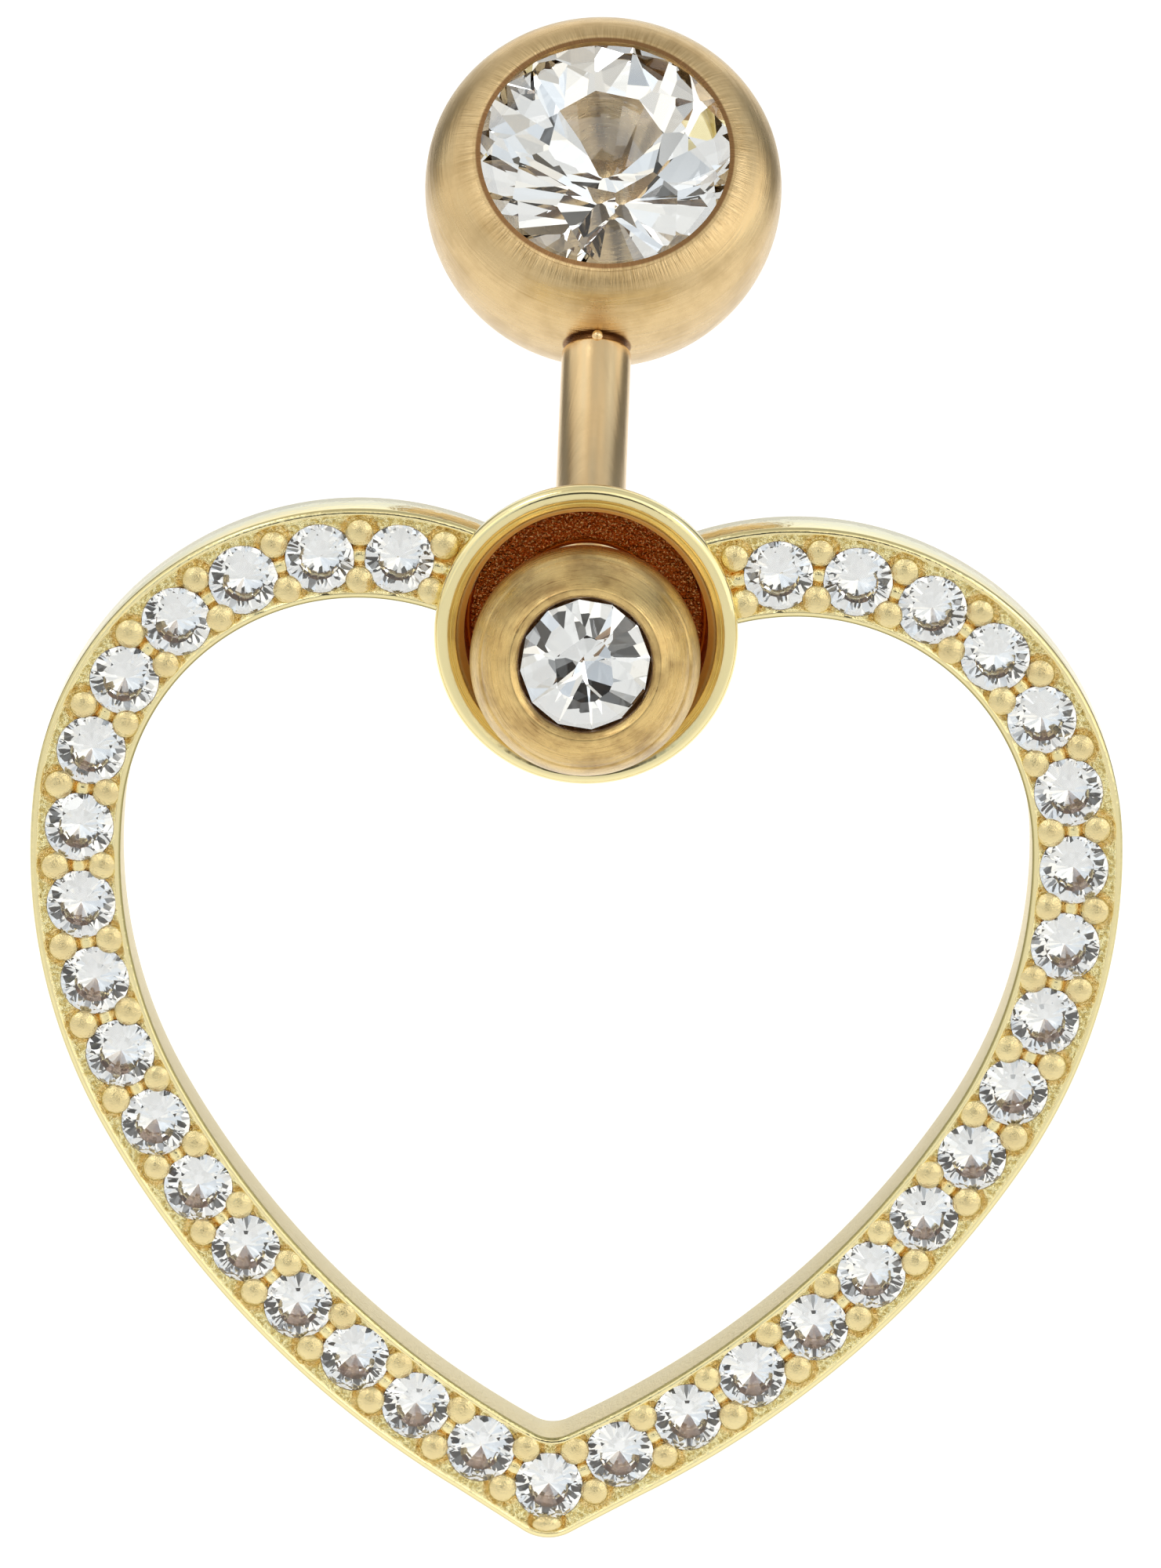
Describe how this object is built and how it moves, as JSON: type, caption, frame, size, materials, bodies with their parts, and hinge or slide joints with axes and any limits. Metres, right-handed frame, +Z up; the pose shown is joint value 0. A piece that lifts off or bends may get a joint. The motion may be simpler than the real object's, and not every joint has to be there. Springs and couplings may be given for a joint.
{
  "type": "navel ring with an open heart charm",
  "caption": "Curved belly bar with a gem ball at each end; the small ball screws off and holds an open heart charm, set with small stones, by its round cup.",
  "frame": {"origin": "the middle of the bar's bend, on its centre line, where the piercing sits", "axes": "+Z up with the heart's tip at the bottom, -Y the way the heart's stones face, +X to the right of a person who looks at the stones"},
  "size_m": [0.0238, 0.0232, 0.032],
  "materials": {
    "satin_gold": "satin, gold coloured steel with fine scuffs",
    "polished_gold": "polished light gold plating, grained in the bed between the stones",
    "clear_stone": "clear faceted stone with a bright back"
  },
  "bodies": {
    "bar": {"stem": "satin_gold", "large_ball": "satin_gold", "large_stone": "clear_stone"},
    "charm": {"heart_frame": "polished_gold", "heart_stone_01": "clear_stone", "heart_stone_02": "clear_stone", "heart_stone_03": "clear_stone", "heart_stone_04": "clear_stone", "heart_stone_05": "clear_stone", "heart_stone_06": "clear_stone", "heart_stone_07": "clear_stone", "heart_stone_08": "clear_stone", "heart_stone_09": "clear_stone", "heart_stone_10": "clear_stone", "heart_stone_11": "clear_stone", "heart_stone_12": "clear_stone", "heart_stone_13": "clear_stone", "heart_stone_14": "clear_stone", "heart_stone_15": "clear_stone", "heart_stone_16": "clear_stone", "heart_stone_17": "clear_stone", "heart_stone_18": "clear_stone", "heart_stone_19": "clear_stone", "heart_stone_20": "clear_stone", "heart_stone_21": "clear_stone", "heart_stone_22": "clear_stone", "heart_stone_23": "clear_stone", "heart_stone_24": "clear_stone", "heart_stone_25": "clear_stone", "heart_stone_26": "clear_stone", "heart_stone_27": "clear_stone", "heart_stone_28": "clear_stone", "heart_stone_29": "clear_stone", "heart_stone_30": "clear_stone", "heart_stone_31": "clear_stone", "heart_stone_32": "clear_stone", "heart_stone_33": "clear_stone", "heart_stone_34": "clear_stone", "heart_stone_35": "clear_stone"},
    "screw_ball": {"small_ball": "satin_gold", "small_stone": "clear_stone"}
  },
  "joints": [
    {"name": "charm_swivel", "type": "hinge", "parent": "bar", "child": "charm", "pos_m": [0, -0.00956, -0.00042], "axis": [0, -0.9903, 0.1392], "continuous": true},
    {"name": "ball_unscrew", "type": "slide", "parent": "bar", "child": "screw_ball", "axis": [0, -0.9903, 0.1392], "range_m": [0, 0.006]}
  ]
}
